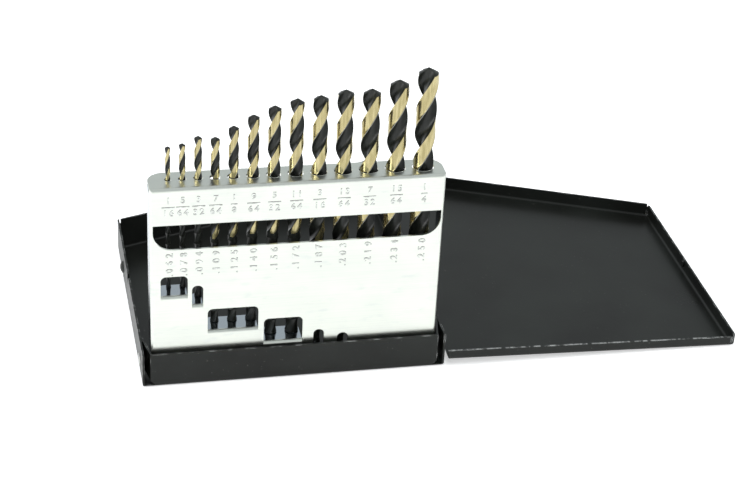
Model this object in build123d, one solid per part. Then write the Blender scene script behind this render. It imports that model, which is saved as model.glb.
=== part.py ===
from build123d import *
import math
import os

# Folding twist-drill case: a black sheet-steel tray, a lid that swings on a hinge pin along
# one side, a zinc-plated stand that folds down into the tray on two rivets, and thirteen
# jobber drills from 1/16 in to 1/4 in that stand in its pierced top.
#
# Millimetres. X runs across the tray from its free wall to its hinge wall, Y back from its
# front wall, Z up from the bench. Everything is drawn from the tray's front left bottom
# corner and written about a point of the tray's underside, ORIGIN. The lid is drawn shut
# and the stand upright; the lid is then swung open until its far edge lies on the bench.

INCH = 25.4

# Sheet stock
CASE_SHEET = 0.6
STAND_SHEET = 0.7
CASE_BEND = 1.4  # outside radius of the case's bends
STAND_BEND = 1.1  # outside radius of the stand's bends

# Tray: its back edge is slanted, because the drills get longer towards the hinge
TRAY_WIDTH = 97.2
TRAY_DEPTH_FREE = 88.0
TRAY_DEPTH_HINGE = 123.0
TRAY_HEIGHT = 12.0
CORNER_GAP = 2.5  # the front wall stops this far inside the side walls' faces
CORNER_RELIEF = 1.5  # 45 degree cut at the foot of each gap
CORNER_RELIEF_Z = 0.9
TAB_DEPTH = 10.5  # tab folded back from the front wall's end to the side wall
SLIT = 0.5  # slit between two walls at a corner
SLIT_FOOT = 2.2
EAR_DEPTH = 15.0  # the hinge wall keeps its full height this far back
ORIGIN = (TRAY_WIDTH / 2, 45.0, 0.0)

# Thumb bump on the tray's free wall, and the catch: a pip in the lid, a notch in the tray
BUMP_Y, BUMP_Z = 66.5, 5.4
BUMP_RADIUS = 2.4
BUMP_RISE = 1.1
CATCH_Y, CATCH_Z = 48.9, 10.1
NOTCH_RADIUS = 1.5
PIP_RADIUS = 1.1
PIP_RISE = 0.5

# Side hinge: knuckles rolled from both walls round one pin
PIN_RADIUS = 0.5
PIN_CLEARANCE = 0.06
HINGE_Z = 7.8
KNUCKLE_COUNT = 9
KNUCKLE_START = 17.0
KNUCKLE_END = 119.0
KNUCKLE_GAP = 0.4
KNUCKLE_SWEEP_GAP = 0.35
WALL_SPLIT_GAP = 0.3  # between the two hinge walls where neither is rolled
PIN_OVERHANG = 0.3

# Lid: nests outside the tray's walls
LID_FIT = 0.25
LID_HEADROOM = 0.4
LIP_FRONT = 3.6
LIP_FAR = 4.7
LIP_BACK = 5.4

# Stand, upright
STAND_SIDE_GAP = 3.0  # from the tray's side faces to the stand's
STAND_FRONT = 2.0
STAND_TOP = 69.2
STAND_FOOT = 0.9
TOP_DEPTH = 10.8
TOP_CORNER = 5.0
FLANGE_DEPTH = 7.0
FLANGE_TOP_GAP = 0.9
SHELF_DEPTH = 7.5  # foot of the face turned back under the three thickest drills
DRILL_LINE = 6.1  # depth of the drills' axes behind the face
WINDOW_CORNER = 1.6
FLAP_KERF = 0.3  # a flap is this much shorter than the window that it leaves
SLOT_INSET = 0.9  # from the stand's sides to the slot's ends
SLOT_FOOT, SLOT_HEAD = 48.1, 56.7
SLOT_CORNER = 6.0
# Lower windows: first drill, last drill, reach beyond the first one's axis, reach beyond the
# last one's, foot, head. Each window's flap is the seat of its drills.
WINDOWS = (
    (0, 1, 3.1, 0.9, 31.5, 38.7),
    (2, 2, 2.6, 0.9, 27.9, 35.0),
    (3, 5, 2.9, 1.5, 18.2, 26.2),
    (6, 7, 3.1, 2.5, 12.7, 21.3),
    (8, 8, 1.1, 2.3, 7.5, 16.1),
    (9, 9, 1.0, 2.5, 5.7, 14.3),
)

# Pivot rivets of the stand
PIVOT_BACK = 6.4  # behind the stand's face
PIVOT_Z = 5.6
PIVOT_RADIUS = 1.0
PIVOT_CLEARANCE = 0.06
PIVOT_EAR = 3.3
RIVET_HEAD_RADIUS = 1.9
RIVET_HEAD = 0.45
RIVET_PLAY = 0.1

# Drills: diameter as a fraction of an inch, overall length, flute length
DRILLS = (
    ("1_16", 48.9, 21.0),
    ("5_64", 49.7, 23.5),
    ("3_32", 55.5, 28.5),
    ("7_64", 64.6, 35.0),
    ("1_8", 68.0, 38.0),
    ("9_64", 71.4, 40.5),
    ("5_32", 79.6, 43.5),
    ("11_64", 81.6, 46.0),
    ("3_16", 87.5, 50.5),
    ("13_64", 90.8, 55.0),
    ("7_32", 94.8, 57.5),
    ("15_64", 97.4, 60.0),
    ("1_4", 101.0, 63.0),
)
END_DRILL_INSET = 6.2  # from the stand's sides to the axes of the first and last drill
HOLE_CLEARANCE = 0.3
SEAT_GAP = 0.04
POINT_ANGLE = 118.0
POINT_TURN = 330.0  # degrees from X to the middle of a flute at the point
FLUTE_RADIUS = 0.36  # this and the four below are shares of a drill's diameter
FLUTE_OFFSET = 0.47
LEAD_SHARE = 3.7
SHANK_CHAMFER = 0.08
RUN_OUT = 1.1
LEAD_BASE = 15.0  # what every flute's lead has besides its share

# Sizes that follow from the ones above
SLANT = (TRAY_DEPTH_HINGE - TRAY_DEPTH_FREE) / TRAY_WIDTH
SLANT_STRETCH = math.hypot(1.0, SLANT)
KNUCKLE_BORE = PIN_RADIUS + PIN_CLEARANCE
KNUCKLE_RADIUS = KNUCKLE_BORE + CASE_SHEET
HINGE_X = TRAY_WIDTH - CASE_SHEET + KNUCKLE_RADIUS
LID_INSIDE = TRAY_HEIGHT + LID_HEADROOM
LID_OUTSIDE = LID_INSIDE + CASE_SHEET
STAND_LEFT = STAND_SIDE_GAP
STAND_RIGHT = TRAY_WIDTH - STAND_SIDE_GAP
PIVOT_Y = STAND_FRONT + PIVOT_BACK
DRILL_Y = STAND_FRONT + DRILL_LINE
GUIDE_DEPTH = SLOT_HEAD - SLOT_FOOT - FLAP_KERF


def slab(x0, x1, y0, y1, z0, z1):
    """A box between two corners."""
    return Pos(x0, y0, z0) * Box(x1 - x0, y1 - y0, z1 - z0, align=(Align.MIN,) * 3)


def rod(radius, start, end):
    """A round bar from one point to another."""
    axis = Vector(*end) - Vector(*start)
    return extrude(Plane(origin=start, z_dir=axis) * Circle(radius), axis.length)


def prism(points, z0, z1):
    """A polygon of the plan, raised from z0 to z1."""
    return extrude(Pos(0, 0, z0) * make_face(Polyline(*points, close=True)), z1 - z0, dir=(0, 0, 1))


def mirrored(shape):
    """The shape on the other side of the tray's middle."""
    return mirror(shape, Plane.YZ.offset(TRAY_WIDTH / 2))


def back_edge(x, outward):
    """Y of the slanted back edge, moved outward square to itself."""
    return TRAY_DEPTH_FREE + SLANT * x + outward * SLANT_STRETCH


def case_plan(left, right, front, back):
    """The case's four-sided plan, with its slanted back moved out by back."""
    return (
        (left, front),
        (right, front),
        (right, back_edge(right, back)),
        (left, back_edge(left, back)),
    )


def knuckles(owner):
    """The Y spans of the knuckles of the tray (owner 0) or the lid (owner 1)."""
    pitch = (KNUCKLE_END - KNUCKLE_START) / KNUCKLE_COUNT
    for number in range(owner, KNUCKLE_COUNT, 2):
        start = KNUCKLE_START + number * pitch
        yield start + KNUCKLE_GAP / 2, start + pitch - KNUCKLE_GAP / 2


def roll_knuckles(wall, owner):
    """Rolls one hinge wall's own spans round the pin."""
    for y0, y1 in knuckles(owner):
        wall += rod(KNUCKLE_RADIUS, (HINGE_X, y0, HINGE_Z), (HINGE_X, y1, HINGE_Z))
        wall -= rod(KNUCKLE_BORE, (HINGE_X, y0 - 1, HINGE_Z), (HINGE_X, y1 + 1, HINGE_Z))
    return wall


def clear_knuckles(wall, other, z0, z1):
    """Cuts a hinge wall away, from z0 to z1, where the other side's knuckles turn."""
    for y0, y1 in knuckles(other):
        room = slab(TRAY_WIDTH - CASE_SHEET, TRAY_WIDTH + 1, y0 - KNUCKLE_GAP, y1 + KNUCKLE_GAP, z0, z1)
        wall -= room
    return wall


def front_corner():
    """What is cut from the front wall beside the free wall, and the tab folded back there."""
    above = TRAY_HEIGHT + 1
    relief = CORNER_GAP + CORNER_RELIEF
    cut = extrude(
        Plane.XZ
        * make_face(
            Polyline(
                (CASE_SHEET, CORNER_RELIEF_Z),
                (relief, CORNER_RELIEF_Z),
                (CORNER_GAP, CORNER_RELIEF_Z + CORNER_RELIEF),
                (CORNER_GAP, above),
                (CASE_SHEET, above),
                close=True,
            )
        ),
        amount=CASE_BEND,
        both=True,
    )
    start = Vector(CORNER_GAP + CASE_SHEET / 2, CASE_SHEET / 2)
    end = Vector(1.4 * CASE_SHEET, TAB_DEPTH)
    along = (end - start).normalized()
    side = Vector(-along.Y, along.X) * (CASE_SHEET / 2)
    corners = [start + side, start - side, end - side, end + side]
    tab = prism([(corner.X, corner.Y) for corner in corners], CORNER_RELIEF_Z + CORNER_RELIEF, TRAY_HEIGHT)
    return cut, tab


def tray_shell():
    """Folded pan with its catch, corner tabs, pivot ears and half of the hinge."""
    sheet = CASE_SHEET
    pan = prism(case_plan(0, TRAY_WIDTH, 0, 0), 0, TRAY_HEIGHT)
    pan = fillet(pan.faces().sort_by(Axis.Z)[0].edges(), CASE_BEND)
    inside = prism(case_plan(sheet, TRAY_WIDTH - sheet, sheet, -sheet), sheet, TRAY_HEIGHT + 1)
    pan -= fillet(inside.faces().sort_by(Axis.Z)[0].edges(), CASE_BEND - sheet)

    cut, tab = front_corner()
    pan = pan - cut - mirrored(cut) + tab + mirrored(tab)
    for x in (sheet, TRAY_WIDTH - sheet - SLIT):
        y = back_edge(x, 0)
        pan -= slab(x, x + SLIT, y - 2 * CASE_BEND, y + 1, SLIT_FOOT, TRAY_HEIGHT + 1)

    pan -= slab(TRAY_WIDTH - sheet, TRAY_WIDTH + 1, EAR_DEPTH, TRAY_DEPTH_HINGE + 1, HINGE_Z, TRAY_HEIGHT + 1)
    pan = clear_knuckles(pan, 1, HINGE_Z - KNUCKLE_RADIUS - KNUCKLE_SWEEP_GAP, TRAY_HEIGHT)
    pan = roll_knuckles(pan, 0)

    ball = (BUMP_RADIUS**2 + BUMP_RISE**2) / (2 * BUMP_RISE)
    place = Pos(ball - BUMP_RISE, BUMP_Y, BUMP_Z)
    near = (BUMP_Y - 2 * ball, BUMP_Y + 2 * ball, BUMP_Z - 2 * ball, BUMP_Z + 2 * ball)
    pan += place * Sphere(ball) & slab(-2 * ball, sheet / 2, *near)
    pan -= place * Sphere(ball - sheet)
    pan -= rod(NOTCH_RADIUS, (-1, CATCH_Y, CATCH_Z), (2 * sheet, CATCH_Y, CATCH_Z))
    pan -= slab(-1, 2 * sheet, CATCH_Y - NOTCH_RADIUS, CATCH_Y + NOTCH_RADIUS, CATCH_Z, TRAY_HEIGHT + 1)

    return pan - rod(PIVOT_RADIUS, (-1, PIVOT_Y, PIVOT_Z), (TRAY_WIDTH + 1, PIVOT_Y, PIVOT_Z))


def open_angle():
    """Degrees the shut lid turns until the bend of its far edge touches the bench."""
    arm = HINGE_X + LID_FIT + CASE_SHEET - CASE_BEND
    rise = LID_OUTSIDE - CASE_BEND - HINGE_Z
    reach = math.hypot(arm, rise)
    return 180 + math.degrees(math.asin((HINGE_Z - CASE_BEND) / reach) - math.atan2(rise, arm))


def lid_panel():
    """Folded lid with the other half of the hinge, drawn shut and swung open."""
    sheet = CASE_SHEET
    edge = LID_FIT + sheet
    lid = prism(case_plan(-edge, TRAY_WIDTH, -edge, edge), LID_OUTSIDE - LIP_BACK, LID_OUTSIDE)
    lid = fillet(lid.faces().sort_by(Axis.Z)[-1].edges(), CASE_BEND)
    inside = prism(case_plan(-LID_FIT, TRAY_WIDTH - sheet, -LID_FIT, LID_FIT), 0, LID_INSIDE)
    lid -= fillet(inside.faces().sort_by(Axis.Z)[-1].edges(), CASE_BEND - sheet)

    far = TRAY_DEPTH_HINGE + CASE_BEND + 2
    lid -= slab(-LID_FIT, TRAY_WIDTH + 1, -2, -LID_FIT, 0, LID_OUTSIDE - LIP_FRONT)
    lid -= slab(-2, -LID_FIT, -2, far, 0, LID_OUTSIDE - LIP_FAR)
    y = back_edge(0, edge)
    lid -= slab(-LID_FIT, -LID_FIT + SLIT, y - 2 * CASE_BEND, y + 1, 0, LID_OUTSIDE - CASE_BEND)
    lid -= slab(-LID_FIT, -LID_FIT + SLIT, -2, 0, 0, LID_OUTSIDE - CASE_BEND)

    wall_x = TRAY_WIDTH - sheet
    lid -= slab(wall_x - CASE_BEND, TRAY_WIDTH + 1, -LID_FIT, EAR_DEPTH + KNUCKLE_GAP, 0, LID_INSIDE)
    lid -= slab(wall_x, TRAY_WIDTH + 1, EAR_DEPTH, far, 0, HINGE_Z)
    split = HINGE_Z + WALL_SPLIT_GAP
    stops = [EAR_DEPTH] + [y for span in knuckles(1) for y in span] + [far]
    for start, stop in zip(stops[::2], stops[1::2]):
        lid -= slab(wall_x, TRAY_WIDTH + 1, start, stop, 0, split)
    lid = clear_knuckles(lid, 0, 0, HINGE_Z + KNUCKLE_RADIUS + KNUCKLE_SWEEP_GAP)
    lid = roll_knuckles(lid, 1)

    pip = rod(PIP_RADIUS, (-LID_FIT - sheet / 2, CATCH_Y, CATCH_Z), (PIP_RISE - LID_FIT, CATCH_Y, CATCH_Z))
    dent = rod(PIP_RADIUS - sheet, (-edge - 1, CATCH_Y, CATCH_Z), (PIP_RISE - edge, CATCH_Y, CATCH_Z))
    lid = lid + pip - dent
    return lid.rotate(Axis((HINGE_X, 0, HINGE_Z), (0, 1, 0)), open_angle())


def pierced(x0, x1, z0, z1, corner, depth0, depth1, round_foot=False):
    """A window's shape through the face, with two round corners at its head or its foot."""
    corner = min(corner, 0.499 * (x1 - x0))
    low, high = (z0 + corner, z1) if round_foot else (z0, z1 - corner)
    mid = z0 + corner if round_foot else z1 - corner
    shape = slab(x0, x1, depth0, depth1, low, high)
    shape += slab(x0 + corner, x1 - corner, depth0, depth1, z0, z1)
    for x in (x0 + corner, x1 - corner):
        shape += rod(corner, (x, depth0, mid), (x, depth1, mid))
    return shape & slab(x0, x1, depth0, depth1, z0, z1)


def diameter_of(size):
    """The diameter that a size such as 3_32 stands for."""
    over, under = size.split("_")
    return INCH * int(over) / int(under)


def drill_places():
    """Each drill's node name, diameter, lengths, X and foot Z, with equal webs between them."""
    across = [diameter_of(size) for size, _, _ in DRILLS]
    between = sum(across) - (across[0] + across[-1]) / 2
    web = (STAND_RIGHT - STAND_LEFT - 2 * END_DRILL_INSET - between) / (len(DRILLS) - 1)
    x = STAND_LEFT + END_DRILL_INSET
    for number, (size, overall, fluted) in enumerate(DRILLS):
        foot = STAND_FOOT + STAND_SHEET
        for first, last, _, _, z0, _ in WINDOWS:
            if first <= number <= last:
                foot = z0
        yield f"drill_{size}", across[number], overall, fluted, x, foot + SEAT_GAP
        x += web + sum(across[number : number + 2]) / 2


def lance(stand, x0, x1, z0, z1):
    """Opens a window in the stand's face and bends its flap back, level with the window's foot."""
    front, sheet, bend = STAND_FRONT, STAND_SHEET, STAND_BEND
    stand -= pierced(x0, x1, z0, z1, WINDOW_CORNER, front - 1, front + 2 * sheet)
    fold = z0 - bend
    stand -= slab(x0, x1, front, front + bend, fold, z0)
    length = z1 - FLAP_KERF - fold - math.pi / 2 * bend
    flap = pierced(x0, x1, fold, fold + length, WINDOW_CORNER, front, front + sheet)
    stand += flap.rotate(Axis((0, front + bend, fold), (1, 0, 0)), -90)
    ends = (x0, front + bend, fold), (x1, front + bend, fold)
    return stand + ((rod(bend, *ends) - rod(bend - sheet, *ends)) & slab(x0, x1, front, front + bend, fold, z0))


def drill_stand():
    """Folded stand: face, side flanges, pierced top, guide flap, seats and foot shelf."""
    front, sheet = STAND_FRONT, STAND_SHEET
    back = front + TOP_DEPTH
    stand = slab(STAND_LEFT, STAND_RIGHT, front, back, STAND_FOOT, STAND_TOP)
    stand = fillet(stand.faces().sort_by(Axis.Y)[0].edges(), STAND_BEND)
    inside = slab(
        STAND_LEFT + sheet,
        STAND_RIGHT - sheet,
        front + sheet,
        back + 1,
        STAND_FOOT + sheet,
        STAND_TOP - sheet,
    )
    stand -= fillet(inside.faces().sort_by(Axis.Y)[0].edges(), STAND_BEND - sheet)

    spare = slab(STAND_LEFT - 1, STAND_LEFT + sheet, front + FLANGE_DEPTH, back + 1, 0, STAND_TOP + 1)
    spare -= rod(PIVOT_EAR, (STAND_LEFT - 2, PIVOT_Y, PIVOT_Z), (STAND_LEFT + 2, PIVOT_Y, PIVOT_Z))
    under_top = STAND_TOP - sheet
    spare += slab(
        STAND_LEFT - 1,
        STAND_LEFT + sheet,
        front + STAND_BEND,
        back + 1,
        under_top - FLANGE_TOP_GAP,
        STAND_TOP + 1,
    )
    stand = stand - spare - mirrored(spare)
    stand -= slab(STAND_LEFT + sheet, STAND_RIGHT - sheet, front + SHELF_DEPTH, back + 1, 0, STAND_FOOT + sheet)
    top = slab(STAND_LEFT, STAND_RIGHT, front + STAND_BEND, back, under_top, STAND_TOP)
    stand -= slab(STAND_LEFT, STAND_RIGHT, back - TOP_CORNER, back + 1, under_top, STAND_TOP + 1)
    stand += fillet(top.edges().filter_by(Axis.Z).group_by(Axis.Y)[-1], TOP_CORNER)

    x0, x1 = STAND_LEFT + SLOT_INSET, STAND_RIGHT - SLOT_INSET
    span = (x0, x1, SLOT_FOOT, SLOT_HEAD, SLOT_CORNER)
    stand -= pierced(*span, front - 1, front + 2 * sheet, round_foot=True)
    span = (x0, x1, SLOT_FOOT + FLAP_KERF, SLOT_HEAD, SLOT_CORNER)
    flap = pierced(*span, front, front + sheet, round_foot=True)
    stand += flap.rotate(Axis((0, front, SLOT_HEAD), (1, 0, 0)), 90)
    line = [x for _, _, _, _, x, _ in drill_places()]
    for first, last, before, beyond, z0, z1 in WINDOWS:
        stand = lance(stand, line[first] - before, line[last] + beyond, z0, z1)

    for _, diameter, _, _, x, _ in drill_places():
        radius = diameter / 2 + HOLE_CLEARANCE
        stand -= rod(radius, (x, DRILL_Y, SLOT_HEAD - 1), (x, DRILL_Y, STAND_TOP + 1))
        if DRILL_LINE + radius > GUIDE_DEPTH - sheet:
            stand -= slab(x - radius, x + radius, DRILL_Y, back, SLOT_HEAD - 1, SLOT_HEAD + 2 * sheet)
    stand -= slab(STAND_LEFT, STAND_RIGHT, front - 1, front, STAND_FOOT, STAND_TOP)
    flange = STAND_LEFT + 2 * sheet
    bore = rod(PIVOT_RADIUS + PIVOT_CLEARANCE, (0, PIVOT_Y, PIVOT_Z), (flange, PIVOT_Y, PIVOT_Z))
    return stand - bore - mirrored(bore)


def pivot_rivet():
    """Rivet through the free wall, its tab and the stand's flange, headed at both ends."""
    inner = STAND_LEFT + STAND_SHEET + RIVET_PLAY
    rivet = rod(PIVOT_RADIUS, (0, PIVOT_Y, PIVOT_Z), (inner, PIVOT_Y, PIVOT_Z))
    for x, outward in ((0, -1), (inner, 1)):
        head = rod(RIVET_HEAD_RADIUS, (x, PIVOT_Y, PIVOT_Z), (x + outward * RIVET_HEAD, PIVOT_Y, PIVOT_Z))
        rim = head.edges().sort_by(Axis.X)[0 if outward < 0 else -1]
        rivet += fillet(rim, 0.8 * RIVET_HEAD)
    return rivet


def hinge_pin():
    """Plain pin through all the knuckles."""
    start = (HINGE_X, KNUCKLE_START - PIN_OVERHANG, HINGE_Z)
    end = (HINGE_X, KNUCKLE_END + PIN_OVERHANG, HINGE_Z)
    pin = rod(PIN_RADIUS, start, end)
    return chamfer(pin.edges().filter_by(GeomType.CIRCLE), PIN_RADIUS / 3)


def twist_drill(diameter, overall, fluted):
    """Right-hand twist drill, point up: two helical flutes that run out into the shank."""
    radius = diameter / 2
    chamfer_size = SHANK_CHAMFER * diameter
    point = radius / math.tan(math.radians(POINT_ANGLE / 2))
    outline = Polyline(
        (0, 0),
        (radius - chamfer_size, 0),
        (radius, chamfer_size),
        (radius, overall - point),
        (0, overall),
        close=True,
    )
    blank = revolve(Plane.XZ * make_face(outline), Axis.Z)

    cutter = FLUTE_RADIUS * diameter
    offset = FLUTE_OFFSET * diameter
    lead = LEAD_BASE + LEAD_SHARE * diameter
    run_out = RUN_OUT * diameter
    foot = overall - fluted
    length = fluted - run_out + point
    for start in (0, 180):
        section = (Pos(offset, 0, 0) * Circle(cutter)).face().rotate(Axis.Z, start)
        flute = Solid.extrude_linear_with_rotation(section, (0, 0, 0), (0, 0, length), 360 * length / lead)
        rings = []
        for share, away in ((0.0, radius + cutter), (0.5, offset + cutter / 3), (1.0, offset)):
            turn = start - 360 * (1 - share) * run_out / lead
            ring = (Pos(away, 0, foot + share * run_out) * Circle(cutter)).face()
            rings.append(ring.rotate(Axis.Z, turn))
        blank -= [Pos(0, 0, foot + run_out) * flute, loft(rings)]
    return blank.rotate(Axis.Z, POINT_TURN - 360 * (fluted - run_out) / lead)


def write(shape, node):
    """Writes one node about ORIGIN."""
    export_step(Pos(*(-value for value in ORIGIN)) * shape, f"parts/{node}.step")


def main():
    os.makedirs("parts", exist_ok=True)
    write(tray_shell(), "tray_shell")
    write(lid_panel(), "lid_panel")
    write(hinge_pin(), "hinge_pin")
    write(drill_stand(), "drill_stand")
    rivet = pivot_rivet()
    write(rivet, "pivot_rivet_free_side")
    write(mirrored(rivet), "pivot_rivet_hinge_side")
    for node, diameter, overall, fluted, x, foot in drill_places():
        write(Pos(x, DRILL_Y, foot) * twist_drill(diameter, overall, fluted), node)


if __name__ == "__main__":
    main()
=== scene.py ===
"""A folding twist drill case, open on a white table, with its stand up and its drills in place.

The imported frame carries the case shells, the pin, the rivets and the stand. This script gives them
their finishes, closes the feet of three corner slits, puts a finely ground body in the place of each
plain drill, adds the rolled rims of the stand's holes and its stamped sizes, and lights and views the
case as in the photograph.
"""

from __future__ import annotations

import logging
import math
from dataclasses import dataclass, field
from enum import Enum
from fractions import Fraction

import bpy
from mathutils import Matrix, Vector


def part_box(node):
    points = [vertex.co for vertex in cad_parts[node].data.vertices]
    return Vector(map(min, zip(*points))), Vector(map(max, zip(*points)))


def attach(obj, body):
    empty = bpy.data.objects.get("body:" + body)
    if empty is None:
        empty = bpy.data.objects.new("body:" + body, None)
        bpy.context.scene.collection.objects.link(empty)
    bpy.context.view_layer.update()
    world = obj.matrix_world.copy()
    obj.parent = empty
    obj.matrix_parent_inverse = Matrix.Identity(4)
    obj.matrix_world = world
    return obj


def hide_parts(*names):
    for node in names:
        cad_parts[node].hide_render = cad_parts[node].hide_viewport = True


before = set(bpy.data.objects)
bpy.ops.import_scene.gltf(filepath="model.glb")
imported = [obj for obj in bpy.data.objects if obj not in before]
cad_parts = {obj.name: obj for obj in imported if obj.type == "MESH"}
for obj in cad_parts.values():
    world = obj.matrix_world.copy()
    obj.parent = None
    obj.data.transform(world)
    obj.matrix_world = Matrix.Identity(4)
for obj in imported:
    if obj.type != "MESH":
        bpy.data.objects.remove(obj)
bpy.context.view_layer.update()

LOG = logging.getLogger("drill_case")
MM = 0.001
INCH = 0.0254
Number = "float | Field"


# --------------------------------------------------------------------------- node formulas


class Field:
    """One socket of a node tree that can stand in a formula."""

    def __init__(self, graph: "Graph", socket: bpy.types.NodeSocket) -> None:
        """Keep the socket and the graph that it belongs to.

        Args:
            graph: the graph in which the formula grows.
            socket: the output that holds this value.
        """
        self.graph = graph
        self.socket = socket

    def __add__(self, other: Number) -> "Field":
        """This value plus another."""
        return self.graph.math("ADD", self, other)

    def __sub__(self, other: Number) -> "Field":
        """This value less another."""
        return self.graph.math("SUBTRACT", self, other)

    def __rsub__(self, other: Number) -> "Field":
        """Another value less this one."""
        return self.graph.math("SUBTRACT", other, self)

    def __mul__(self, other: Number) -> "Field":
        """This value times another."""
        return self.graph.math("MULTIPLY", self, other)

    def __truediv__(self, other: Number) -> "Field":
        """This value divided by another."""
        return self.graph.math("DIVIDE", self, other)

    __radd__ = __add__
    __rmul__ = __mul__

    def sine(self) -> "Field":
        """The sine of this angle."""
        return self.graph.math("SINE", self)

    def cosine(self) -> "Field":
        """The cosine of this angle."""
        return self.graph.math("COSINE", self)

    def root(self) -> "Field":
        """The square root, with nothing below zero."""
        return self.graph.math("SQRT", self.graph.math("MAXIMUM", self, 0.0))

    def least(self, other: Number) -> "Field":
        """The smaller of this value and another."""
        return self.graph.math("MINIMUM", self, other)

    def most(self, other: Number) -> "Field":
        """The larger of this value and another."""
        return self.graph.math("MAXIMUM", self, other)

    def over(self, limit: Number) -> "Field":
        """One where this value is over the limit, else zero."""
        return self.graph.math("GREATER_THAN", self, limit)

    def between(self, low: Number, high: Number) -> "Field":
        """How far this value is from low to high, from 0 to 1."""
        ramp = self.graph.node("ShaderNodeMapRange")
        for name, value in (("Value", self), ("From Min", low), ("From Max", high)):
            self.graph.feed(ramp.inputs[name], value)
        return Field(self.graph, ramp.outputs["Result"])

    def towards(self, other: Number, share: Number) -> "Field":
        """This value moved towards another by a share from 0 to 1."""
        return self + (self.graph.value(other) - self) * share


class Graph:
    """A node tree that grows from formulas."""

    def __init__(self, tree: bpy.types.NodeTree) -> None:
        """Take the tree to grow.

        Args:
            tree: a shader or geometry node tree.
        """
        self.tree = tree

    def node(self, kind: str, inputs: dict | None = None, **settings: object) -> bpy.types.Node:
        """Add a node.

        Args:
            kind: the node's type name.
            inputs: a value or field for each named input.
            settings: properties of the node itself.

        Returns:
            The new node.
        """
        node = self.tree.nodes.new(kind)
        for name, setting in settings.items():
            setattr(node, name, setting)
        for name, value in (inputs or {}).items():
            self.feed(node.inputs[name], value)
        return node

    def feed(self, socket: bpy.types.NodeSocket, value: object) -> None:
        """Give an input its value.

        Args:
            socket: the input.
            value: a field or a socket to link, or a plain value to set.
        """
        if isinstance(value, Field):
            value = value.socket
        if isinstance(value, bpy.types.NodeSocket):
            self.tree.links.new(value, socket)
        else:
            socket.default_value = value

    def value(self, number: Number) -> Field:
        """A number as a field; a field stays as it is."""
        return number if isinstance(number, Field) else self.math("ADD", number, 0.0)

    def math(self, operation: str, *values: Number) -> Field:
        """Add a Math node.

        Args:
            operation: the node's operation.
            values: its one or two values.

        Returns:
            The result.
        """
        node = self.node("ShaderNodeMath", operation=operation)
        for socket, value in zip(node.inputs, values):
            self.feed(socket, value)
        return Field(self, node.outputs[0])

    def axes(self, vector: bpy.types.NodeSocket) -> tuple[Field, Field, Field]:
        """Split a vector into its three numbers."""
        split = self.node("ShaderNodeSeparateXYZ", {"Vector": vector})
        return tuple(Field(self, output) for output in split.outputs)

    def vector(self, x: Number, y: Number, z: Number) -> Field:
        """Join three numbers into a vector."""
        join = self.node("ShaderNodeCombineXYZ", {"X": x, "Y": y, "Z": z})
        return Field(self, join.outputs[0])


# --------------------------------------------------------------------------- finishes


class Shader(Graph):
    """A material's node tree, with the patterns that this case's finishes share."""

    def __init__(self, name: str) -> None:
        """Start a material with a Principled BSDF.

        Args:
            name: the material's name.
        """
        self.material = bpy.data.materials.new(name)
        self.material.use_nodes = True
        super().__init__(self.material.node_tree)
        self.tree.nodes.clear()
        self.surface = self.node("ShaderNodeBsdfPrincipled")
        out = self.node("ShaderNodeOutputMaterial", {"Surface": self.surface.outputs[0]})
        out.is_active_output = True
        self.place = self.node("ShaderNodeTexCoord").outputs["Object"]

    def noise(self, size: tuple[float, float, float], detail: float = 3.0, seed: float = 0.0) -> Field:
        """Noise on the object's coordinates.

        Args:
            size: how long one blot is along each axis, in metres.
            detail: octaves of finer noise.
            seed: a shift that makes one noise differ from the next.

        Returns:
            The noise, from 0 to 1 and mostly near 0.5.
        """
        scale = self.node("ShaderNodeMapping")
        scale.inputs["Scale"].default_value = [1 / length for length in size]
        scale.inputs["Location"].default_value = (seed, seed * 1.7, seed * 0.3)
        self.feed(scale.inputs["Vector"], self.place)
        noise = self.node("ShaderNodeTexNoise", {"Vector": scale.outputs[0], "Scale": 1.0, "Detail": detail})
        return Field(self, noise.outputs["Fac"])

    def worn_edges(self, reach: float, amount: float) -> Field:
        """Where a sheet's edges have lost their finish.

        Args:
            reach: how far from the edge the wear goes, in metres.
            amount: how much of the edge is worn, from 0 to 1.

        Returns:
            One where the finish is gone.
        """
        round_off = self.node("ShaderNodeBevel", {"Radius": reach}, samples=6)
        flat = self.node("ShaderNodeNewGeometry").outputs["Normal"]
        turned = self.node("ShaderNodeVectorMath", operation="DOT_PRODUCT")
        self.feed(turned.inputs[0], round_off.outputs[0])
        self.feed(turned.inputs[1], flat)
        edge = (1.0 - Field(self, turned.outputs["Value"])).between(0.02, 0.16)
        rubbed = self.noise((0.004, 0.004, 0.004), 6.0, 3.1).between(1.0 - amount, 1.12 - amount)
        return edge * rubbed

    def blend(self, first: tuple | Field, second: tuple | Field, share: Number) -> Field:
        """Mix two colours.

        Args:
            first: the colour at share 0.
            second: the colour at share 1.
            share: how much of the second colour.

        Returns:
            The mixed colour.
        """
        mix = self.node("ShaderNodeMix", data_type="RGBA", clamp_factor=True)
        self.feed(mix.inputs["Factor"], share)
        for socket, colour in ((mix.inputs[6], first), (mix.inputs[7], second)):
            self.feed(socket, colour if isinstance(colour, Field) else (*colour, 1.0))
        return Field(self, mix.outputs[2])

    def relief(self, height: Field, depth: float, strength: float) -> None:
        """Make the surface uneven.

        Args:
            height: the pattern of hills, from 0 to 1.
            depth: how high a hill is, in metres.
            strength: how much of it shows.
        """
        bump = self.node("ShaderNodeBump", {"Height": height, "Distance": depth, "Strength": strength})
        self.feed(self.surface.inputs["Normal"], bump.outputs[0])

    def set(self, **values: object) -> None:
        """Set the surface's own sockets, named with _ for a space."""
        for name, value in values.items():
            self.feed(self.surface.inputs[name.replace("_", " ")], value)


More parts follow.
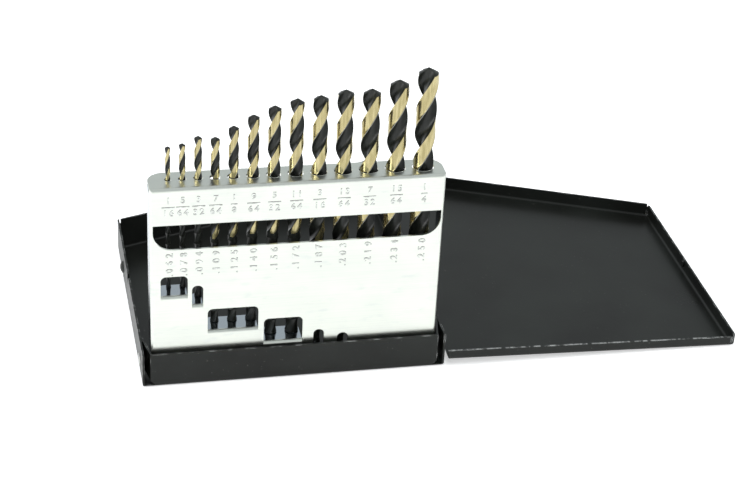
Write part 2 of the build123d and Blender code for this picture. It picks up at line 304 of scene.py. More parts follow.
@dataclass(frozen=True)
class WornLip:
    """The top edge of the open lid's front lip, which is tilted with the lid, and the painted highlight that
    runs along it.
    """

    front: float  # the lip's outer face, in metres
    far: float  # the end of the lip that is away from the hinge
    level: float  # the height of its top edge there
    slope: float  # how much the edge climbs towards the hinge, per metre
    reach: tuple[float, float] = (0.7 * MM, 0.9 * MM)  # the painted highlight fades this far behind the lip's face
    depth: tuple[float, float] = (-0.16 * MM, -0.05 * MM)  # and this far under its top edge
    amount: float = 0.75


@dataclass(frozen=True)
class CaseEnamel:
    """Baked black enamel on sheet steel, rubbed bright on its edges, with a painted highlight on the lid's
    lip.
    """

    black: tuple[float, float, float] = (0.0065, 0.007, 0.006)
    dusty: tuple[float, float, float] = (0.013, 0.015, 0.013)
    lint: tuple[float, float, float] = (0.10, 0.10, 0.09)
    bare: tuple[float, float, float] = (0.55, 0.56, 0.55)
    shine: float = 0.30
    roughness: float = 0.27
    rub_reach: float = 0.35 * MM
    rub_amount: float = 0.50

    def material(self, lip: WornLip | None = None) -> bpy.types.Material:
        """Build the enamel.

        Args:
            lip: the lip along whose top edge a painted highlight of bare metal runs, if there is one.

        Returns:
            The material.
        """
        s = Shader("lid_enamel_with_lip_highlight" if lip else "case_enamel_finish")
        film = s.noise((0.030, 0.030, 0.030), 4.0)
        specks = s.noise((0.0011, 0.0011, 0.0011), 2.0, 7.3).between(0.71, 0.76)
        worn = s.worn_edges(self.rub_reach, self.rub_amount)
        # On the lid, a thin broken band of bare metal along the lip's top edge is a painted highlight, joined
        # to the edge wear.
        if lip:
            across, depth, height = s.axes(s.place)
            below = height - (lip.level - (across - lip.far) * lip.slope)
            near = (1.0 - (depth - lip.front).between(*lip.reach)) * below.between(*lip.depth)
            broken = s.noise((0.0016, 0.004, 0.004), 5.0, 8.2).between(0.44, 0.60)
            worn = worn.most(near * broken * lip.amount)
        coat = s.blend(self.black, self.dusty, film.between(0.35, 0.65))
        coat = s.blend(coat, self.lint, specks * 0.35)
        s.set(Base_Color=s.blend(coat, self.bare, worn), Metallic=worn * 0.9)
        s.set(IOR=1.5, Specular_IOR_Level=self.shine)
        s.set(Roughness=s.value(self.roughness).towards(self.roughness + 0.14, film.between(0.3, 0.8)))
        peel = s.noise((0.0016, 0.0016, 0.0016), 2.0, 1.9)
        s.relief(peel, 0.05 * MM, 0.16)
        return s.material


@dataclass(frozen=True)
class ZincPlate:
    """Bright zinc on the stand, brushed along its width."""

    bright: tuple[float, float, float] = (0.865, 0.893, 0.815)
    cloudy: tuple[float, float, float] = (0.775, 0.80, 0.75)
    stained: tuple[float, float, float] = (0.68, 0.72, 0.70)
    sheltered: tuple[float, float, float] = (0.56, 0.61, 0.66)
    roughness: float = 0.24
    sheltered_roughness: float = 0.10
    shelter: tuple[float, float] = (0.8 * MM, 1.4 * MM)  # the painted shade of the seats begins this far behind the face
    under_top: tuple[float, float] = (0.9 * MM, 1.3 * MM)  # and this far under the top

    def material(self, face: float, top: float) -> bpy.types.Material:
        """Build the plating.

        Args:
            face: the depth of the stand's face, behind which the drills' seats are painted in shade, darker
                and bluer, and made glossier.
            top: the height of the stand's top, which gets no painted shade.

        Returns:
            The material.
        """
        s = Shader("zinc_plate_finish")
        brushed = s.noise((0.030, 0.004, 0.00035), 4.0)
        cloud = s.noise((0.014, 0.014, 0.010), 3.0, 4.4)
        stain = s.noise((0.006, 0.006, 0.002), 5.0, 9.1).between(0.60, 0.74)
        tone = (cloud.between(0.35, 0.7) * 0.55 + brushed.between(0.4, 0.75) * 0.45).least(1.0)
        _, depth, height = s.axes(s.place)
        # painted shade: the drills' seats behind the face and under the top are darker and bluer, and
        # glossier
        shaded_seats = (depth - face).between(*self.shelter) * (top - height).between(*self.under_top)
        worn = s.blend(s.blend(self.bright, self.cloudy, tone), self.stained, stain * 0.4)
        s.set(Base_Color=s.blend(worn, self.sheltered, shaded_seats))
        rough = s.value(self.roughness).towards(self.roughness + 0.12, brushed)
        s.set(Metallic=1.0, Roughness=rough.towards(self.sheltered_roughness, shaded_seats))
        s.relief(brushed, 0.01 * MM, 0.14)
        return s.material


@dataclass(frozen=True)
class BrightSteel:
    """Plain drawn steel of the hinge pin and the pivot rivets."""

    steel: tuple[float, float, float] = (0.62, 0.62, 0.60)
    tarnish: tuple[float, float, float] = (0.30, 0.29, 0.27)
    roughness: float = 0.26

    def material(self) -> bpy.types.Material:
        """Build the steel."""
        s = Shader("bright_steel_finish")
        drawn = s.noise((0.0004, 0.012, 0.0004), 3.0)
        stain = s.noise((0.003, 0.003, 0.003), 4.0, 2.2)
        s.set(Base_Color=s.blend(self.steel, self.tarnish, stain.between(0.45, 0.8)), Metallic=1.0)
        s.set(Roughness=s.value(self.roughness).towards(self.roughness + 0.2, drawn))
        s.relief(drawn, 0.01 * MM, 0.2)
        return s.material


@dataclass(frozen=True)
class StampedStroke:
    """One wall of a stroke stamped in the plating: the upper in shade, the lower in light."""

    name: str
    deep: tuple[float, float, float]
    faint: tuple[float, float, float]
    bare: float = 0.3  # how much of the wall is clean metal
    dull: float = 0.45
    polish: float = 0.15

    def material(self) -> bpy.types.Material:
        """Build the wall's finish."""
        s = Shader(self.name)
        patchy = s.noise((0.0012, 0.0012, 0.0009), 4.0, 5.7)
        s.set(Base_Color=s.blend(self.deep, self.faint, patchy.between(0.42, 0.62)))
        s.set(Metallic=self.bare, Roughness=self.dull - self.polish * self.bare)
        s.relief(patchy, 0.02 * MM, 0.2)
        return s.material


@dataclass(frozen=True)
class DrillSteel:
    """Two-tone drill: black oxide in the flutes and on the shank, lands ground and tempered to straw gold."""

    black: tuple[float, float, float] = (0.010, 0.011, 0.009)
    smoky: tuple[float, float, float] = (0.024, 0.027, 0.022)
    gold: tuple[float, float, float] = (0.42, 0.355, 0.17)
    pale_gold: tuple[float, float, float] = (0.66, 0.575, 0.32)
    margin: tuple[float, float, float] = (0.36, 0.36, 0.33)
    shine: float = 0.40
    oxide_roughness: float = 0.27
    ground_roughness: float = 0.18

    def material(self) -> bpy.types.Material:
        """Build the two tones from the drill's own face marks."""
        s = Shader("drill_steel_finish")
        mark = s.node("ShaderNodeAttribute", attribute_name="tone").outputs["Fac"]
        tone = Field(s, mark)
        ground, edged = tone.over(0.75), tone.over(0.25)
        streak = s.noise((0.0008, 0.0008, 0.006), 4.0)
        grind = s.noise((0.004, 0.004, 0.0002), 3.0, 6.1)
        gold = s.blend(self.gold, self.pale_gold, streak.between(0.35, 0.7))
        black = s.blend(self.black, self.smoky, streak.between(0.40, 0.75))
        colour = s.blend(s.blend(black, self.margin, edged * 0.7), gold, ground)
        s.set(Base_Color=colour, Metallic=edged * 0.95, Specular_IOR_Level=self.shine)
        s.set(Roughness=s.value(self.oxide_roughness).towards(self.ground_roughness, ground) + grind * 0.06)
        s.relief(grind, 0.006 * MM, 0.10)
        return s.material


# --------------------------------------------------------------------------- geometry nodes


class Rule(Graph):
    """A geometry node tree with named inputs, whose result becomes a plain mesh."""

    def __init__(self, name: str, inputs: dict[str, float]) -> None:
        """Start the tree.

        Args:
            name: the tree's name.
            inputs: the named sizes and their defaults.
        """
        super().__init__(bpy.data.node_groups.new(name, "GeometryNodeTree"))
        ports = self.tree.interface
        ports.new_socket("Geometry", in_out="INPUT", socket_type="NodeSocketGeometry")
        ports.new_socket("Geometry", in_out="OUTPUT", socket_type="NodeSocketGeometry")
        self.ports: dict[str, str] = {}
        for label, value in inputs.items():
            port = ports.new_socket(label, in_out="INPUT", socket_type="NodeSocketFloat")
            port.default_value = value
            self.ports[label] = port.identifier
        self.source = self.node("NodeGroupInput")

    def size(self, label: str) -> Field:
        """A named input of the tree."""
        return Field(self, self.source.outputs[label])

    def end(self, shape: bpy.types.NodeSocket, finish: bpy.types.Material) -> None:
        """Close the tree with Realize Instances and Set Material.

        Args:
            shape: the geometry to give out.
            finish: the material of all its faces.
        """
        real = self.node("GeometryNodeRealizeInstances", {"Geometry": shape})
        dressed = self.node("GeometryNodeSetMaterial", {"Geometry": real.outputs[0], "Material": finish})
        self.node("NodeGroupOutput", {"Geometry": dressed.outputs[0]})

    def make(
        self, name: str, sizes: dict[str, float], seed: bpy.types.Mesh | None = None
    ) -> bpy.types.Object:
        """Run the tree once and keep its result.

        Args:
            name: the new piece's name.
            sizes: a value for each named input.
            seed: the mesh that the tree starts from, where it needs one.

        Returns:
            The piece, as a plain mesh at the origin.
        """
        carrier = bpy.data.objects.new(f"{name}.rule", seed or bpy.data.meshes.new(f"{name}.seed"))
        bpy.context.scene.collection.objects.link(carrier)
        modifier = carrier.modifiers.new("rule", "NODES")
        modifier.node_group = self.tree
        for label, value in sizes.items():
            modifier[self.ports[label]] = value
        graph = bpy.context.evaluated_depsgraph_get()
        mesh = bpy.data.meshes.new_from_object(
            carrier.evaluated_get(graph), preserve_all_data_layers=True, depsgraph=graph
        )
        carrier.modifiers.remove(modifier)
        bpy.data.objects.remove(carrier)
        mesh.name = name
        piece = bpy.data.objects.new(name, mesh)
        bpy.context.scene.collection.objects.link(piece)
        return piece


@dataclass(frozen=True)
class DrillGrind:
    """How the drills are ground, in shares of a drill's diameter unless said."""

    flute_radius: float = 0.45
    flute_offset: float = 0.56
    margin_width: float = 0.08  # share of a land
    land_relief: float = 0.022
    run_out: float = 1.1
    lead_base: float = 7.0 * MM  # the lead of a drill of no diameter
    lead_share: float = 4.45
    ground_from: float = 0.9  # how far over the flutes' start the lands' clearance ends at its edges
    ground_round: float = 0.75  # how much further down it ends in the middle of a land
    point_angle: float = 118.0
    lip_relief: float = 0.10
    shank_chamfer: float = 0.08
    columns: int = 64
    rings: int = 132
    foot_rings: float = 2.0  # the first rings close the foot
    point_rings: float = 10.0  # the last ones close the point
    shank_share: float = 0.06  # share of the rings between them that the shank takes
    point_share: float = 0.985  # share of them from which the body turns into the point
    weld: float = 2e-6  # points closer than this are one, in metres
    crease: float = 28.0  # edges sharper than this stay sharp, in degrees


class TwistDrillRule:
    """Grows one drill: a tube of columns and rings, bent to the ground shape by formulas."""

    def __init__(self, grind: DrillGrind, finish: bpy.types.Material) -> None:
        """Build the tree.

        Args:
            grind: the shape that all the drills share.
            finish: the drills' material.
        """
        self.grind = grind
        sizes = {"Diameter": 0.004, "Length": 0.07, "Flute": 0.04, "Lead": 0.026, "Phase": 0.0}
        sizes |= {"X": 0.0, "Y": 0.0, "Foot": 0.0}
        self.rule = Rule("twist_drill", sizes)
        self._grow(finish)

    def _grow(self, finish: bpy.types.Material) -> None:
        """Lay the formulas from the tube's own coordinates to the drill's surface."""
        g, r = self.grind, self.rule
        grid = r.node(
            "GeometryNodeMeshGrid",
            {"Size X": 1.0, "Size Y": 1.0, "Vertices X": g.columns + 1, "Vertices Y": g.rings + 1},
        )
        x, y, _ = r.axes(r.node("GeometryNodeInputPosition").outputs[0])
        turn, climb = x + 0.5, y + 0.5
        radius = r.size("Diameter") * 0.5
        ring = climb * float(g.rings)
        last = g.rings - g.point_rings
        body = ring.between(g.foot_rings, last)
        cone = ring.between(last, float(g.rings))
        slope = 1 / math.tan(math.radians(g.point_angle / 2))
        start = r.size("Length") - r.size("Flute")
        shoulder = r.size("Length") - radius * slope
        chamfer = r.size("Diameter") * g.shank_chamfer
        low = chamfer + (start - chamfer) * body.between(0.0, g.shank_share)
        level = low + (shoulder - start) * body.between(g.shank_share, 1.0)
        # how deep the flute's grinding circle stands at this level
        full = r.size("Diameter") * g.flute_offset
        circle = r.size("Diameter") * g.flute_radius
        left = 1.0 - (level - start).between(0.0, r.size("Diameter") * g.run_out)
        centre = full + (radius + circle - full) * left * left
        reach = (radius * radius + centre * centre - circle * circle) / (radius * centre * 2.0)
        half = r.math("ARCCOSINE", reach.least(1.0))
        sweep = (centre * centre + circle * circle - radius * radius) / (centre * circle * 2.0)
        sweep = r.math("ARCCOSINE", sweep.least(1.0))
        # each half turn is one flute and one land
        part = r.math("FRACT", turn * 2.0)
        second = r.math("FLOOR", turn * 2.0) * math.pi
        in_flute = part.between(0.0, 0.5)
        in_land = part.between(0.5, 1.0)
        along = sweep * (in_flute * 2.0 - 1.0)
        inward, aside = centre - circle * along.cosine(), circle * along.sine()
        hollow = (inward * inward + aside * aside).root()
        angle = r.math("ARCTAN2", aside, inward) + (math.pi - half * 2.0) * in_land
        on_land = part.over(0.5 + 0.25 / g.columns)
        off_margin = on_land * (1.0 - in_land.over(1.0 - g.margin_width - 0.5 / g.columns))
        off_margin = off_margin * (1.0 - left)
        land = radius - r.size("Diameter") * g.land_relief * off_margin
        wall = hollow.least(radius).towards(land, on_land)
        # the point: a cone whose lips lead and whose heels fall away
        flat = wall * (1.0 - cone)
        fall = flat * g.lip_relief * (1.0 - in_land) * on_land
        level = level.towards(r.size("Length") - flat * slope - fall, body.between(g.point_share, 1.0))
        # the foot: a flat end with a small chamfer
        foot = ring.between(0.0, 1.0)
        flat = flat.towards((wall - chamfer) * foot, 1.0 - ring.between(1.0, g.foot_rings))
        level = level * ring.between(1.0, g.foot_rings)
        twist = (level - r.size("Length")) * (2 * math.pi) / r.size("Lead") + r.size("Phase")
        around = angle + second + twist
        place = r.vector(
            flat * around.cosine() + r.size("X"), flat * around.sine() + r.size("Y"), level + r.size("Foot")
        )
        # tones: 1 on a land's ground clearance, 0.5 on its margin, 0 everywhere else
        below = r.math("ABSOLUTE", in_land * 2.0 - 1.0)
        ends = start + r.size("Diameter") * (g.ground_from - (1.0 - below * below) * g.ground_round)
        ground = on_land * (level - ends).over(0.0) * (1.0 - ring.over(last))
        tone = ground * (1.0 - in_land.over(1.0 - g.margin_width) * 0.5)
        marked = r.node(
            "GeometryNodeStoreNamedAttribute",
            {"Geometry": grid.outputs[0], "Name": "tone", "Value": tone},
            domain="FACE",
            data_type="FLOAT",
        )
        bent = r.node("GeometryNodeSetPosition", {"Geometry": marked.outputs[0], "Position": place})
        closed = r.node("GeometryNodeMergeByDistance", {"Geometry": bent.outputs[0], "Distance": g.weld})
        smooth = r.node("GeometryNodeSetShadeSmooth", {"Geometry": closed.outputs[0]}, domain="FACE")
        crease = Field(r, r.node("GeometryNodeInputMeshEdgeAngle").outputs[0]).over(math.radians(g.crease))
        sharp = r.node(
            "GeometryNodeSetShadeSmooth",
            {"Geometry": smooth.outputs[0], "Selection": crease, "Shade Smooth": False},
            domain="EDGE",
        )
        r.end(sharp.outputs[0], finish)

    def make(self, name: str, sizes: dict[str, float]) -> bpy.types.Object:
        """Grow one drill from its sizes."""
        return self.rule.make(name, sizes)


class HoleRimRule:
    """Rolls a bright burr round each hole of a sheet, from points that carry the holes' radii."""

    def __init__(self, finish: bpy.types.Material) -> None:
        """Build the tree.

        Args:
            finish: the material of the rims.
        """
        r = self.rule = Rule("hole_rims", {"Bead": 0.0002})
        ring = r.node("GeometryNodeCurvePrimitiveCircle", {"Resolution": 40, "Radius": 1.0}, mode="RADIUS")
        radius = r.node("GeometryNodeInputNamedAttribute", {"Name": "radius"}, data_type="FLOAT")
        scale = r.vector(Field(r, radius.outputs[0]), Field(r, radius.outputs[0]), 1.0)
        rings = r.node(
            "GeometryNodeInstanceOnPoints",
            {"Points": r.source.outputs["Geometry"], "Instance": ring.outputs[0], "Scale": scale},
        )
        real = r.node("GeometryNodeRealizeInstances", {"Geometry": rings.outputs[0]})
        bead = r.node(
            "GeometryNodeCurvePrimitiveCircle", {"Resolution": 8, "Radius": r.size("Bead")}, mode="RADIUS"
        )
        tube = r.node("GeometryNodeCurveToMesh", {"Curve": real.outputs[0], "Profile Curve": bead.outputs[0]})
        smooth = r.node("GeometryNodeSetShadeSmooth", {"Geometry": tube.outputs[0]})
        r.end(smooth.outputs[0], finish)


# --------------------------------------------------------------------------- the case


class Side(Enum):
    """The two ends of a box along an axis."""

    LOW = 0
    HIGH = 1


def corner(node: str, axis: int, side: Side) -> float:
    """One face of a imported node's box, in metres.

    Args:
        node: the node's name.
        axis: 0, 1 or 2.
        side: which end of the box.

    Returns:
        The coordinate.
    """
    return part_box(node)[side.value][axis]


def repaint(node: str, finish: bpy.types.Material) -> None:
    """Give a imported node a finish.

    Args:
        node: the node's name.
        finish: its new material.
    """
    mesh_slots = bpy.data.objects[node].material_slots
    for mesh_slot in mesh_slots:
        mesh_slot.material = finish
    LOG.info("%s takes %s", node, finish.name)


@dataclass(frozen=True)
class CornerSeam:
    """The closed foot of the slit between two walls.

    Its sizes are millimetres from the shut case's front left corner.
    """

    name: str
    body: str
    across: tuple[float, float]
    depth: tuple[float, float]  # the wall's inner and outer face at the case's free edge
    height: tuple[float, float]
    slant: float = 0.0  # how far the wall runs back for each millimetre across

    def corners(self) -> list[tuple[float, float, float]]:
        """The eight corners, with the case shut."""
        return [
            (x, self.depth[deep] + self.slant * x, self.height[high])
            for high, deep, x in (
                (0, 0, self.across[0]),
                (0, 0, self.across[1]),
                (0, 1, self.across[1]),
                (0, 1, self.across[0]),
                (1, 0, self.across[0]),
                (1, 0, self.across[1]),
                (1, 1, self.across[1]),
                (1, 1, self.across[0]),
            )
        ]


@dataclass
class CaseShells:
    """The enamelled tray and lid on their loose pin."""

    enamel: CaseEnamel = field(default_factory=CaseEnamel)
    steel: BrightSteel = field(default_factory=BrightSteel)
    tray_corner: tuple[float, float, float] = (-48.6, -45.0, 0.0)  # the tray's front left corner, millimetres
    hinge: tuple[float, float] = (97.76, 7.8)  # across and up, millimetres
    seams: tuple[CornerSeam, ...] = (
        CornerSeam("tray_back_seam", "tray", (0.55, 1.15), (87.42, 87.95), (2.1, 10.4), 0.36008),
        CornerSeam("lid_back_seam", "lid", (-0.30, 0.30), (88.32, 88.85), (8.7, 11.8), 0.36008),
        CornerSeam("lid_front_seam", "lid", (-0.30, 0.30), (-0.80, -0.30), (9.6, 11.8)),
    )
    lip_height: float = 3.6 * MM
    lid_tilt: float = 1.5334  # degrees that the open lid rises towards the hinge

    def dress(self) -> None:
        """Finish the shells, the pin and the pivot rivets."""
        steel = self.steel.material()
        tray_enamel = self.enamel.material()
        repaint("tray_shell", tray_enamel)
        lip = WornLip(
            front=corner("lid_panel", 1, Side.LOW),
            far=corner("lid_panel", 0, Side.HIGH),
            level=corner("tray_shell", 2, Side.LOW) + self.lip_height,
            slope=math.tan(math.radians(self.lid_tilt)),
        )
        repaint("lid_panel", self.enamel.material(lip))
        for node in ("hinge_pin", "pivot_rivet_free_side", "pivot_rivet_hinge_side"):
            repaint(node, steel)
        for seam in self.seams:
            self._close(seam, tray_enamel)

    def _close(self, seam: CornerSeam, enamel: bpy.types.Material) -> None:
        """Fill one corner's slit, where it stands with the lid open.

        Args:
            seam: the slit's place with the case shut.
            enamel: the shells' finish.
        """
        turn = math.radians(180.0 + self.lid_tilt) if seam.body == "lid" else 0.0
        points = []
        for x, y, z in seam.corners():
            out, up = x - self.hinge[0], z - self.hinge[1]
            x = self.hinge[0] + out * math.cos(turn) + up * math.sin(turn)
            z = self.hinge[1] - out * math.sin(turn) + up * math.cos(turn)
            points.append([(a + b) * MM for a, b in zip((x, y, z), self.tray_corner)])
        sides = ((3, 2, 1, 0), (4, 5, 6, 7), (0, 1, 5, 4), (1, 2, 6, 5), (2, 3, 7, 6), (3, 0, 4, 7))
        mesh = bpy.data.meshes.new(seam.name)
        mesh.from_pydata(points, [], sides)
        mesh.materials.append(enamel)
        piece = bpy.data.objects.new(seam.name, mesh)
        bpy.context.scene.collection.objects.link(piece)
        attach(piece, seam.body)
        LOG.info("%s closes a corner", seam.name)


@dataclass(frozen=True)
class DrillSize:
    """One drill of the index."""

    sixty_fourths: int
    flute: float  # millimetres
    turn: float  # degrees from X to the middle of a flute at the point, as it stands in its hole
    decimal: str

    @property
    def fraction(self) -> Fraction:
        """The diameter as a fraction of an inch."""
        return Fraction(self.sixty_fourths, 64)

    @property
    def label(self) -> str:
        """The diameter as it stands in the names of nodes and bodies."""
        return f"{self.fraction.numerator}_{self.fraction.denominator}"

    @property
    def node(self) -> str:
        """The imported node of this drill."""
        return f"drill_{self.label}"

    @property
    def body(self) -> str:
        """The body that this drill is."""
        return f"bit_{self.label}"

    @property
    def diameter(self) -> float:
        """The diameter in metres."""
        return self.sixty_fourths * INCH / 64

    def axis(self) -> tuple[float, float]:
        """Where the drill's axis stands, from its packed box."""
        low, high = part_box(self.node)
        return (low[0] + high[0]) / 2, (low[1] + high[1]) / 2


INDEX = (
    DrillSize(4, 21.0, 64.0, ".062"),
    DrillSize(5, 23.5, 55.0, ".078"),
    DrillSize(6, 28.5, 57.0, ".094"),
    DrillSize(7, 35.0, 72.0, ".109"),
    DrillSize(8, 38.0, 77.0, ".125"),
    DrillSize(9, 40.5, 78.0, ".140"),
    DrillSize(10, 43.5, 73.0, ".156"),
    DrillSize(11, 46.0, 60.0, ".172"),
    DrillSize(12, 50.5, 87.0, ".187"),
    DrillSize(13, 55.0, 93.0, ".203"),
    DrillSize(14, 57.5, 78.0, ".219"),
    DrillSize(15, 60.0, 80.0, ".234"),
    DrillSize(16, 63.0, 82.0, ".250"),
)


@dataclass
class DrillSet:
    """The thirteen two-tone drills."""

    grind: DrillGrind = field(default_factory=DrillGrind)
    steel: DrillSteel = field(default_factory=DrillSteel)

    def build(self) -> None:
        """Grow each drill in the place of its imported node."""
        rule = TwistDrillRule(self.grind, self.steel.material())
        for size in INDEX:
            low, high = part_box(size.node)
            x, y = size.axis()
            sizes = {
                "Diameter": size.diameter,
                "Length": high[2] - low[2],
                "Flute": size.flute * MM,
                "Lead": self.grind.lead_base + self.grind.lead_share * size.diameter,
                "Phase": math.radians(size.turn),
                "X": x,
                "Y": y,
                "Foot": low[2],
            }
            piece = rule.make(f"ground_{size.node}", sizes)
            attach(piece, size.body)
            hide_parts(size.node)
            LOG.info("%s stands for %s with %d faces", piece.name, size.node, len(piece.data.polygons))


@dataclass
class StampSet:
    """The stamps that strike the sizes: flat characters laid on the stand's face."""

    boldness: float = 0.022
    outlines: dict[str, bpy.types.Mesh] = field(default_factory=dict)

    def outline(self, character: str) -> bpy.types.Mesh:
        """One character as a flat mesh about its own middle, with text size 1."""
        if character not in self.outlines:
            text = bpy.data.curves.new("stamp", "FONT")
            text.body = character
            text.align_x, text.align_y = "CENTER", "CENTER"
            text.offset = self.boldness
            text.resolution_u = 3
            carrier = bpy.data.objects.new("stamp", text)
            bpy.context.scene.collection.objects.link(carrier)
            graph = bpy.context.evaluated_depsgraph_get()
            self.outlines[character] = bpy.data.meshes.new_from_object(carrier.evaluated_get(graph))
            bpy.data.objects.remove(carrier)
        return self.outlines[character]

    def span(self, character: str) -> tuple[float, float]:
        """The lowest and highest point of a character."""
        heights = [vertex.co.y for vertex in self.outline(character).vertices]
        return min(heights), max(heights)


@dataclass
class StampedFace:
    """A mesh that gathers what is stamped on a face square to Y."""

    depth: float
    shift: tuple[float, float] = (0.0, 0.0)
    points: list[tuple[float, float, float]] = field(default_factory=list)
    faces: list[list[int]] = field(default_factory=list)

    def lay(self, flat: list[tuple[float, float]], polygons: list[list[int]]) -> None:
        """Add a flat shape.

        Args:
            flat: its points across and up the face, in metres.
            polygons: its faces, as indices of those points.
        """
        first = len(self.points)
        self.points += [(x + self.shift[0], self.depth, z + self.shift[1]) for x, z in flat]
        self.faces += [[first + i for i in polygon] for polygon in polygons]

    def piece(self, name: str, finish: bpy.types.Material) -> bpy.types.Object:
        """Make the gathered shapes one piece."""
        mesh = bpy.data.meshes.new(name)
        mesh.from_pydata(self.points, [], self.faces)
        mesh.materials.append(finish)
        made = bpy.data.objects.new(name, mesh)
        bpy.context.scene.collection.objects.link(made)
        return made


@dataclass
class DrillStand:
    """The zinc plated stand: its finish, the rims of its holes and its stamped sizes."""

    zinc: ZincPlate = field(default_factory=ZincPlate)
    shade: StampedStroke = StampedStroke("stamped_shade", (0.012, 0.012, 0.010), (0.07, 0.07, 0.06))
    light: StampedStroke = StampedStroke("stamped_light", (0.55, 0.56, 0.53), (0.85, 0.87, 0.83), 0.9)
    stamps: StampSet = field(default_factory=StampSet)
    hole_clearance: float = 0.3 * MM
    rim_bead: float = 0.035 * MM
    stroke_rise: float = 0.015 * MM
    light_fall: float = 0.15 * MM  # the lit wall of a stroke lies this far under its shaded one
    shift: float = -0.55 * MM  # the fractions stand a little left of the drills
    decimal_shift: float = 0.2 * MM  # and the decimals a little right of the fractions
    numerator_middle: float = 65.3 * MM
    bar_middle: float = 62.95 * MM
    denominator_middle: float = 61.0 * MM
    digit_height: float = 2.15 * MM
    digit_pitch: float = 2.0 * MM
    bar_height: float = 0.34 * MM
    decimal_foot: float = 40.84 * MM  # the middle of the first digit
    point_drop: float = 1.65 * MM  # how far the decimal point stands under it
    decimal_height: float = 2.3 * MM
    decimal_pitch: float = 2.72 * MM

    def build(self) -> None:
        """Finish the stand and add what is rolled and stamped on it."""
        face = corner("drill_stand", 1, Side.LOW)
        plate = self.zinc.material(face, corner("drill_stand", 2, Side.HIGH))
        repaint("drill_stand", plate)
        self._rims(plate)
        # The stamped sizes are two layers of painted light: painted shade on the upper wall of each stroke,
        # and a lit layer just under it.
        shade = StampedFace(face - self.stroke_rise)
        light = StampedFace(face - 2 * self.stroke_rise, (0.02 * MM, -self.light_fall))
        for layer, finish, name in (
            (shade, self.shade.material(), "stamped_sizes"),
            (light, self.light.material(), "stamped_sizes_lit"),
        ):
            for size in INDEX:
                self._stamp(layer, size)
            piece = layer.piece(name, finish)
            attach(piece, "stand")
            LOG.info("%s has %d faces", piece.name, len(layer.faces))

    def _rims(self, plate: bpy.types.Material) -> None:
        """Roll the rims of the thirteen holes."""
        top = corner("drill_stand", 2, Side.HIGH)
        points = [(*size.axis(), top) for size in INDEX]
        mesh = bpy.data.meshes.new("hole_points")
        mesh.from_pydata(points, [], [])
        radii = mesh.attributes.new("radius", "FLOAT", "POINT")
        for item, size in zip(radii.data, INDEX):
            item.value = size.diameter / 2 + self.hole_clearance + self.rim_bead * 0.6
        piece = HoleRimRule(plate).rule.make("hole_rims", {"Bead": self.rim_bead}, mesh)
        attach(piece, "stand")
        LOG.info("%s rolled round %d holes", piece.name, len(points))

    def _strike(
        self, layer: StampedFace, character: str, x: float, z: float, height: float, turned: bool
    ) -> None:
        """Strike one character.

        Args:
            layer: the mesh that takes it.
            character: the character.
            x: its middle across the face.
            z: its middle up the face.
            height: the height of a digit.
            turned: True where the line reads upwards.
        """
        outline = self.stamps.outline(character)
        low, high = self.stamps.span("0")
        scale, middle = height / (high - low), (high + low) / 2
        flat = []
        for vertex in outline.vertices:
            u, v = vertex.co.x * scale, (vertex.co.y - middle) * scale
            flat.append((x - v, z + u) if turned else (x + u, z + v))
        layer.lay(flat, [list(polygon.vertices) for polygon in outline.polygons])

    def _stamp(self, layer: StampedFace, size: DrillSize) -> None:
        """Stamp one hole's fraction above the slot and its decimal below it.

        Args:
            layer: the mesh that takes the marks.
            size: the drill that the hole holds.
        """
        base = corner("tray_shell", 2, Side.LOW)
        x = size.axis()[0] + self.shift
        numbers = (size.fraction.numerator, size.fraction.denominator)
        for number, middle in zip(numbers, (self.numerator_middle, self.denominator_middle)):
            digits = str(number)
            for k, digit in enumerate(digits):
                across = x + (k - (len(digits) - 1) / 2) * self.digit_pitch
                self._strike(layer, digit, across, base + middle, self.digit_height, False)
        half = self.digit_pitch * max(len(str(number)) for number in numbers) / 2
        low = base + self.bar_middle - self.bar_height / 2
        high = low + self.bar_height
        layer.lay([(x - half, low), (x + half, low), (x + half, high), (x - half, high)], [[0, 1, 2, 3]])
        for k, character in enumerate(size.decimal):
            up = base + self.decimal_foot + ((k - 1) * self.decimal_pitch if k else -self.point_drop)
            self._strike(layer, character, x + self.decimal_shift, up, self.decimal_height, True)


# --------------------------------------------------------------------------- the studio


@dataclass(frozen=True)
class Softbox:
    """One rectangular lamp that looks at the case."""

    name: str
    place: tuple[float, float, float]
    width: float
    height: float
    watts: float
    mirrored: bool = True

    def light(self, target: Vector) -> None:
        """Hang the lamp and turn it to the target."""
        lamp = bpy.data.lights.new(self.name, "AREA")
        lamp.shape = "RECTANGLE"
        lamp.size, lamp.size_y = self.width, self.height
        lamp.energy = self.watts
        holder = bpy.data.objects.new(self.name, lamp)
        holder.location = self.place
        holder.visible_glossy = self.mirrored
        holder.rotation_euler = (target - Vector(self.place)).to_track_quat("-Z", "Y").to_euler()
        bpy.context.scene.collection.objects.link(holder)


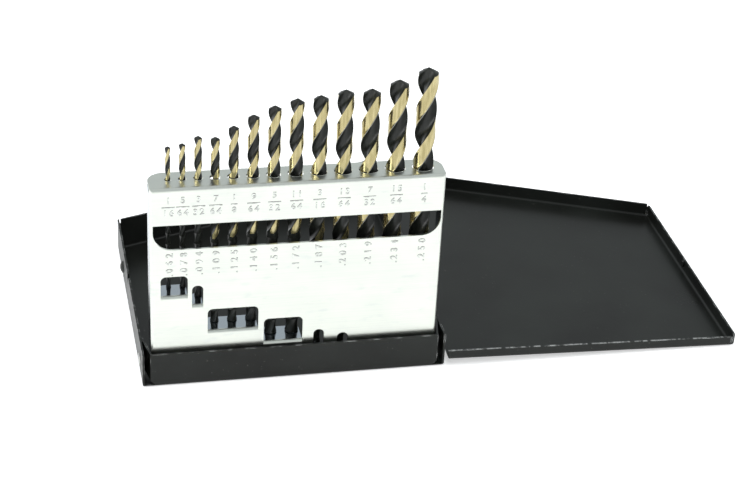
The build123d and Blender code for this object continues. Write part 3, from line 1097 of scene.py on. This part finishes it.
@dataclass
class Studio:
    """A white table and room, soft lamps, and the camera that took the photograph."""

    yaw: float = 13.0028  # degrees that the camera looks to the right
    pitch: float = 29.8248
    roll: float = 3.0168
    lens: float = 1956.1642 / 750 * 36
    eye: tuple[float, float, float] = (-0.0944946, -0.5571877, 0.3463681)
    table: float = 6.0
    table_glow: float = 0.50
    mirrored_glow: float = 0.18
    softboxes: tuple[Softbox, ...] = (
        Softbox("overhead", (-0.15, -0.10, 1.10), 0.9, 0.7, 6.3, False),
        Softbox("left_window", (-1.00, -0.35, 0.45), 0.30, 0.9, 4.0),
        Softbox("right_window", (0.95, -0.55, 0.50), 0.25, 0.8, 2.6),
    )

    def build(self) -> None:
        """Lay the table, light the room, hang the lamps and set the camera."""
        self._table()
        self._room()
        target = Vector((0.04, 0.03, 0.02))
        for softbox in self.softboxes:
            softbox.light(target)
        self._camera()

    def _table(self) -> None:
        """A white table top that shows white to the camera and keeps the case's shadow."""
        half = self.table / 2
        mesh = bpy.data.meshes.new("table_top")
        corners = [(-half, -half, 0), (half, -half, 0), (half, half, 0), (-half, half, 0)]
        mesh.from_pydata(corners, [], [(0, 1, 2, 3)])
        table = bpy.data.objects.new("table_top", mesh)
        bpy.context.scene.collection.objects.link(table)
        s = Shader("table_white")
        s.set(Base_Color=(0.90, 0.90, 0.90, 1.0), Roughness=0.9, Specular_IOR_Level=0.1)
        path = s.node("ShaderNodeLightPath")
        seen, through = Field(s, path.outputs["Is Camera Ray"]), Field(s, path.outputs["Is Transmission Ray"])
        mirrored = Field(s, path.outputs["Is Glossy Ray"])
        strength = seen.most(through) * self.table_glow + mirrored * self.mirrored_glow
        glow = s.node("ShaderNodeEmission", {"Color": (1.0, 1.0, 1.0, 1.0), "Strength": strength})
        both = s.node("ShaderNodeAddShader")
        s.feed(both.inputs[0], s.surface.outputs[0])
        s.feed(both.inputs[1], glow.outputs[0])
        s.feed(s.tree.nodes["Material Output"].inputs["Surface"], both.outputs[0])
        mesh.materials.append(s.material)

    def _room(self) -> None:
        """White to the camera; to metal and to the lamps' side, a soft grey room that brightens upwards."""
        world = bpy.data.worlds.new("room")
        bpy.context.scene.world = world
        world.use_nodes = True
        g = Graph(world.node_tree)
        g.tree.nodes.clear()
        _, _, up = g.axes(g.node("ShaderNodeTexCoord").outputs["Generated"])
        ramp = g.node("ShaderNodeValToRGB", {"Fac": up})
        stops = (
            (0.0, (0.95, 0.96, 0.97)),
            (0.30, (0.66, 0.70, 0.72)),
            (0.62, (0.52, 0.56, 0.57)),
            (1.0, (0.62, 0.65, 0.67)),
        )
        while len(ramp.color_ramp.elements) < len(stops):
            ramp.color_ramp.elements.new(0.5)
        for element, (place, colour) in zip(ramp.color_ramp.elements, stops):
            element.position, element.color = place, (*colour, 1.0)
        seen = g.node("ShaderNodeLightPath").outputs["Is Camera Ray"]
        grey = g.node("ShaderNodeBackground", {"Color": ramp.outputs[0], "Strength": 0.9})
        white = g.node("ShaderNodeBackground", {"Color": (1.0, 1.0, 1.0, 1.0), "Strength": 1.0})
        mix = g.node("ShaderNodeMixShader", {"Fac": seen})
        g.feed(mix.inputs[1], grey.outputs[0])
        g.feed(mix.inputs[2], white.outputs[0])
        g.node("ShaderNodeOutputWorld", {"Surface": mix.outputs[0]})

    def _camera(self) -> None:
        """Set the camera from its yaw, pitch and roll."""
        y, p, r = (math.radians(a) for a in (self.yaw, self.pitch, self.roll))
        ahead = Vector((math.sin(y) * math.cos(p), math.cos(y) * math.cos(p), -math.sin(p)))
        right = Vector((math.cos(y), -math.sin(y), 0.0))
        up = right.cross(ahead)
        turned_right = right * math.cos(r) + up * math.sin(r)
        turned_up = up * math.cos(r) - right * math.sin(r)
        lens = bpy.data.cameras.new("camera")
        lens.lens, lens.sensor_width = self.lens, 36.0
        camera = bpy.data.objects.new("camera", lens)
        pose = Matrix((turned_right, turned_up, -ahead)).transposed().to_4x4()
        pose.translation = Vector(self.eye)
        camera.matrix_world = pose
        bpy.context.scene.collection.objects.link(camera)
        bpy.context.scene.camera = camera


def main() -> None:
    """Dress the case, stand the drills in it and set up the studio."""
    logging.basicConfig(level=logging.INFO, format="%(name)s: %(message)s")
    bpy.context.scene.view_settings.view_transform = "Standard"
    CaseShells().dress()
    DrillStand().build()
    DrillSet().build()
    Studio().build()


if __name__ == "__main__":
    main()
